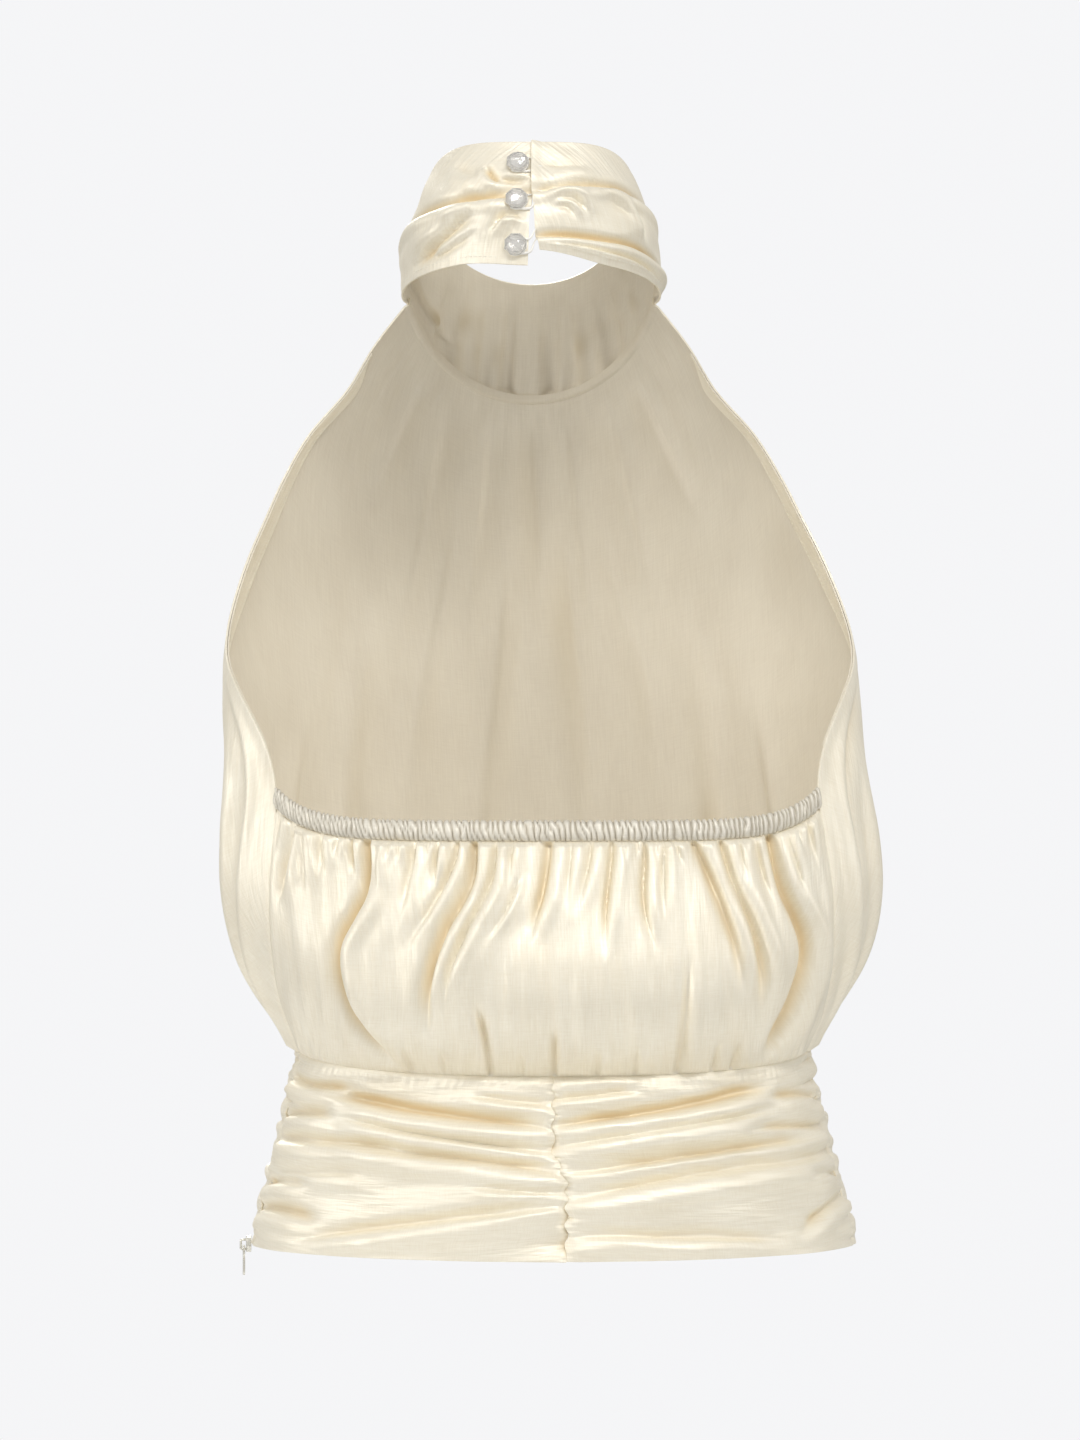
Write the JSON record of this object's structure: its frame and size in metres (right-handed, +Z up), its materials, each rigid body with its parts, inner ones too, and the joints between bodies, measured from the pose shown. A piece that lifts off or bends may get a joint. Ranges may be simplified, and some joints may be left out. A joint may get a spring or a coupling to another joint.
{
  "type": "halter neck top",
  "caption": "Satin halter neck top in worn form: buttoned mock-neck collar, bare back with gathered elastic edge, ruched waistband and side zip with a hinged pull.",
  "frame": {"origin": "centre of the collar ring, where the wearer's neck holds the top up", "axes": "+Z up along the wearer's body, the front faces -Y, the wearer's left is +X"},
  "size_m": [0.3181, 0.238, 0.547],
  "materials": {
    "satin": "ivory satin with a fine slubby weave and a soft sheen",
    "satin_casing": "ivory satin, tightly ruched over elastic",
    "crystal": "clear faceted resin",
    "loop_cord": "round elastic cord",
    "zip_metal": "cream lacquered metal"
  },
  "bodies": {
    "top": {"collar": "satin", "front_panel": "satin", "armhole_facing_left": "satin", "armhole_facing_right": "satin", "back_panel": "satin", "elastic_casing": "satin_casing", "waistband_front": "satin", "waistband_back_left": "satin", "waistband_back_right": "satin", "button_1": "crystal", "button_2": "crystal", "button_3": "crystal", "loop_1": "loop_cord", "loop_2": "loop_cord", "loop_3": "loop_cord", "zip_slider": "zip_metal"},
    "pull_tab": {"zip_pull": "zip_metal"}
  },
  "joints": [
    {"name": "pull_hinge", "type": "hinge", "parent": "top", "child": "pull_tab", "pos_m": [0.13952, 0.0116, -0.4756], "axis": [0.108, -0.9942, 0], "range_deg": [-8, 130]}
  ]
}
